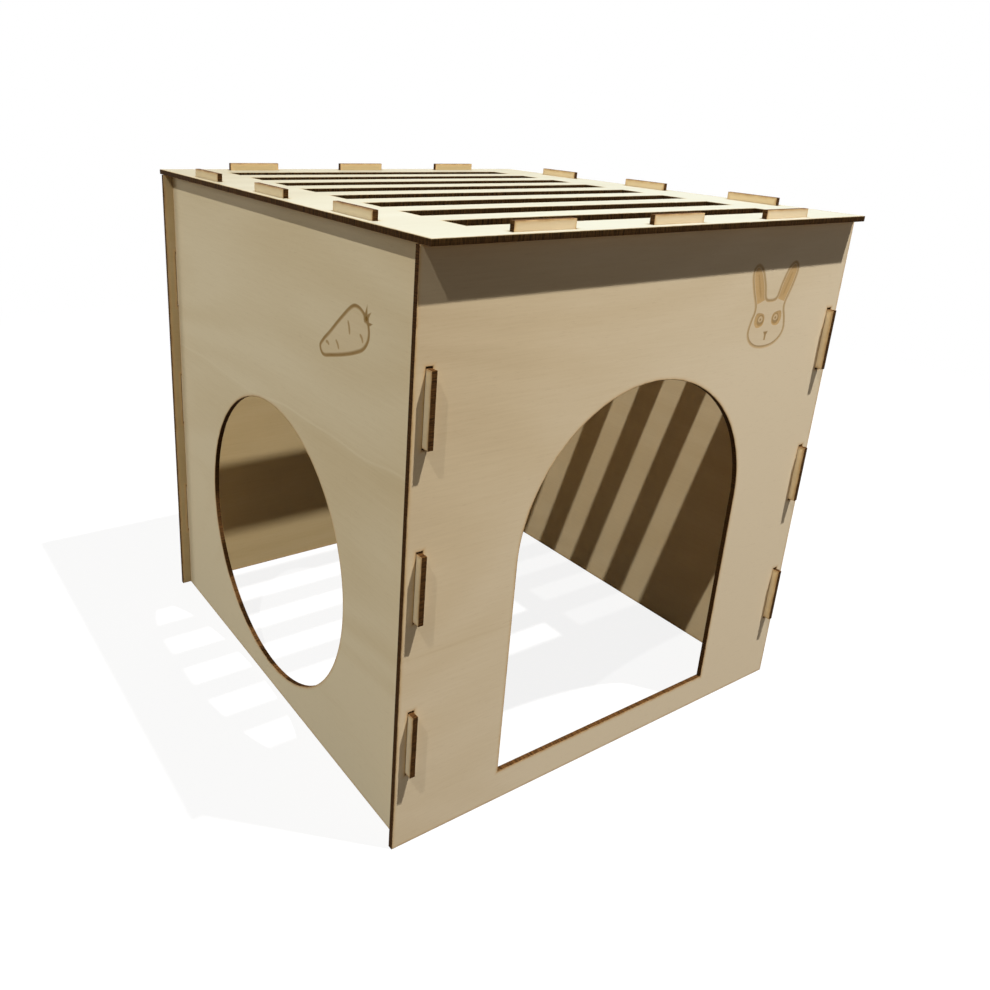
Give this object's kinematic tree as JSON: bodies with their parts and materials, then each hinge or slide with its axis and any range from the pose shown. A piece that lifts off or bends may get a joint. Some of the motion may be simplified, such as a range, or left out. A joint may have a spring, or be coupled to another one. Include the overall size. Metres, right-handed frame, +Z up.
{
  "type": "rabbit hideout",
  "caption": "Flat-pack plywood hideout for a small pet, with tab-and-slot walls, an arched doorway, a round side window and a slatted lift-off roof.",
  "frame": {"origin": "on the ground, under the middle of the house: the bottom centre of its box", "axes": "+X to the right seen from the front, +Y to the back, +Z up; the doorway faces -Y"},
  "size_m": [0.296, 0.311, 0.3075],
  "materials": {
    "plywood": "bare sanded veneer with laser-burnt brown edges"
  },
  "bodies": {
    "walls": {"front_wall": "plywood", "back_wall": "plywood", "left_wall": "plywood", "right_wall": "plywood"},
    "roof": {"roof_panel": "plywood"}
  },
  "joints": [
    {"name": "roof_lift", "type": "slide", "parent": "walls", "child": "roof", "axis": [0, 0, 1], "range_m": [0, 0.08]}
  ]
}
